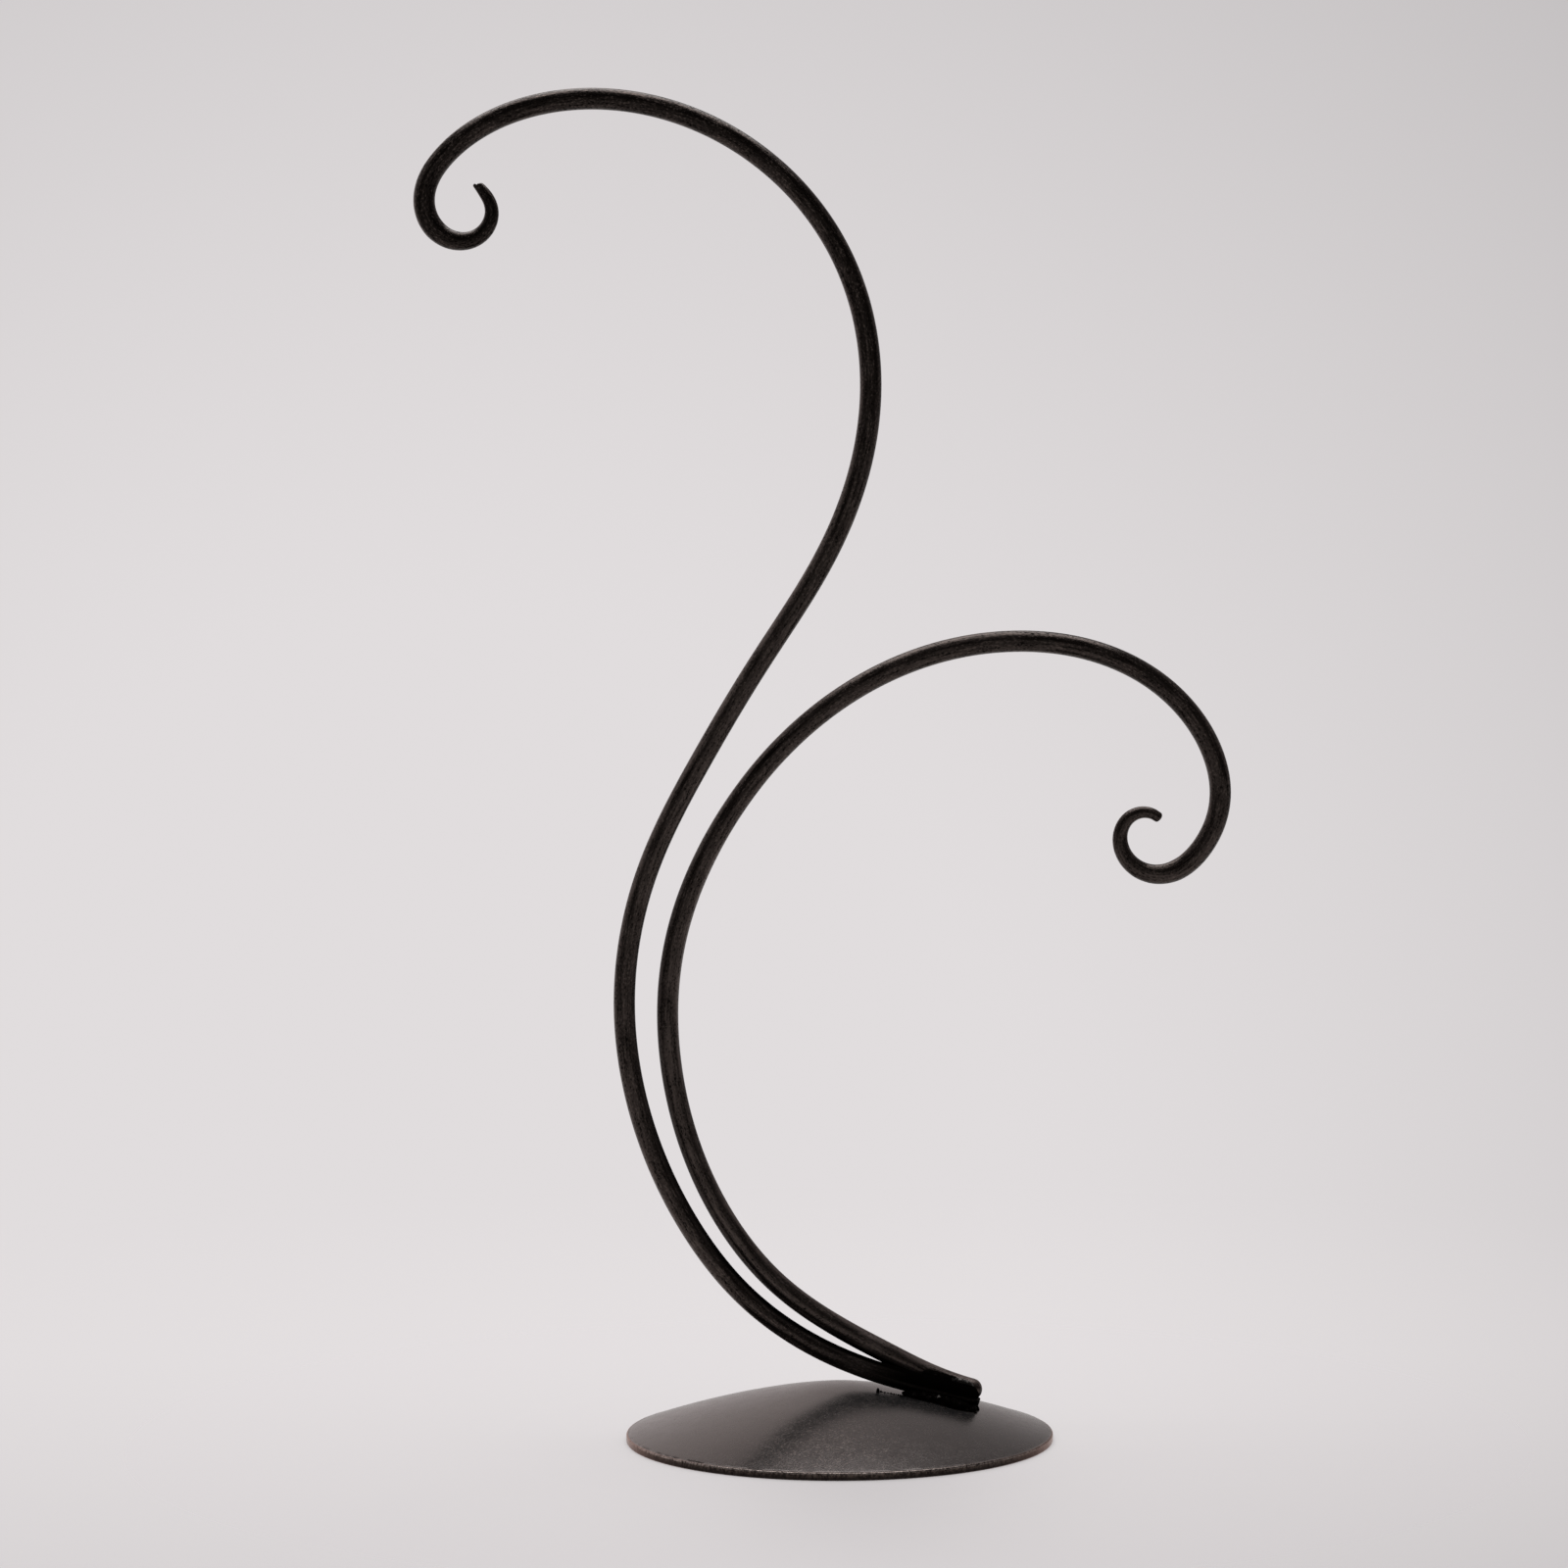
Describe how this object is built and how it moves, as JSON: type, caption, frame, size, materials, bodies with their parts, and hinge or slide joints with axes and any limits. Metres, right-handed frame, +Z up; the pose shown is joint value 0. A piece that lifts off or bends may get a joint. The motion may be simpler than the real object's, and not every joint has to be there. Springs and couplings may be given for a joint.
{
  "type": "ornament stand",
  "caption": "Tabletop ornament stand: a tall and a low scroll hook bent from round iron bar, welded side by side on a shallow domed dish.",
  "frame": {"origin": "on the table, under the middle of the stand's full width and depth", "axes": "+Z up, +X to the right in the picture, towards the low hook, -Y towards the viewer"},
  "size_m": [0.1918, 0.1016, 0.3204],
  "materials": {
    "blackened_iron": "blackened and waxed, satin, with faint hammer and drawing marks",
    "browned_steel": "browned and waxed, satin, finely mottled, burnished along the rim",
    "weld_metal": "blackened weld bead, rippled, half gloss"
  },
  "bodies": {
    "root": {"base_dish": "browned_steel", "tall_arm": "blackened_iron", "short_arm": "blackened_iron", "foot_weld_front": "weld_metal", "foot_weld_rear": "weld_metal", "arm_seam_weld": "weld_metal"}
  },
  "joints": []
}
